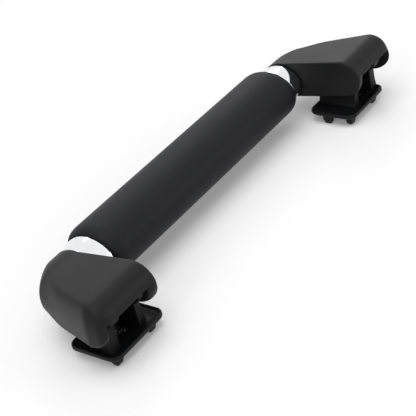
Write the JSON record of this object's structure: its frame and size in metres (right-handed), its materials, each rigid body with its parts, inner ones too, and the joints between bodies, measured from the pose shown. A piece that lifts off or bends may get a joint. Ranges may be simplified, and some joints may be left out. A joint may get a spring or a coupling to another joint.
{
  "type": "roof grab handle",
  "caption": "Folding roof grab handle with a soft oval grip, bright end rings and two moulded arms that hinge on screw-down brackets",
  "frame": {"origin": "midway between the two brackets, in the plane of their feet, which is the plane of the roof panel", "axes": "+X along the bar to the far end, +Y from the hinge towards the bar, +Z away from the roof panel"},
  "size_m": [0.227, 0.0578, 0.0314],
  "materials": {
    "grip_rubber": "soft-touch blue-black",
    "tube_aluminium": "extruded",
    "bright_chrome": "bright plated",
    "arm_plastic": "satin moulded dark grey",
    "bracket_plastic": "moulded near-black",
    "zinc_steel": "zinc plated",
    "acetal": "natural acetal",
    "buffer_rubber": "matt"
  },
  "bodies": {
    "brackets": {"bracket_near": "bracket_plastic", "bracket_far": "bracket_plastic", "hinge_bush_inboard_near": "acetal", "hinge_bush_inboard_far": "acetal", "hinge_bush_outboard_near": "acetal", "hinge_bush_outboard_far": "acetal", "fixing_bush_near": "zinc_steel", "fixing_bush_far": "zinc_steel", "rest_buffer_near": "buffer_rubber", "rest_buffer_far": "buffer_rubber", "return_spring": "zinc_steel", "damper_cup": "bracket_plastic"},
    "handle": {"arm_near": "arm_plastic", "arm_far": "arm_plastic", "core_tube": "tube_aluminium", "grip_sleeve": "grip_rubber", "trim_ring_near": "bright_chrome", "trim_ring_far": "bright_chrome", "arm_screw_near": "zinc_steel", "arm_screw_far": "zinc_steel", "hinge_pin_near": "zinc_steel", "hinge_pin_far": "zinc_steel", "damper_rotor": "acetal"}
  },
  "joints": [
    {"name": "handle_fold", "type": "hinge", "parent": "brackets", "child": "handle", "pos_m": [0, -0.0069, 0.0223], "axis": [1, 0, 0], "range_deg": [0, 80], "stiffness_Nm_per_rad": 0.1, "springref_deg": -85.94, "deforming": ["return_spring"]}
  ]
}
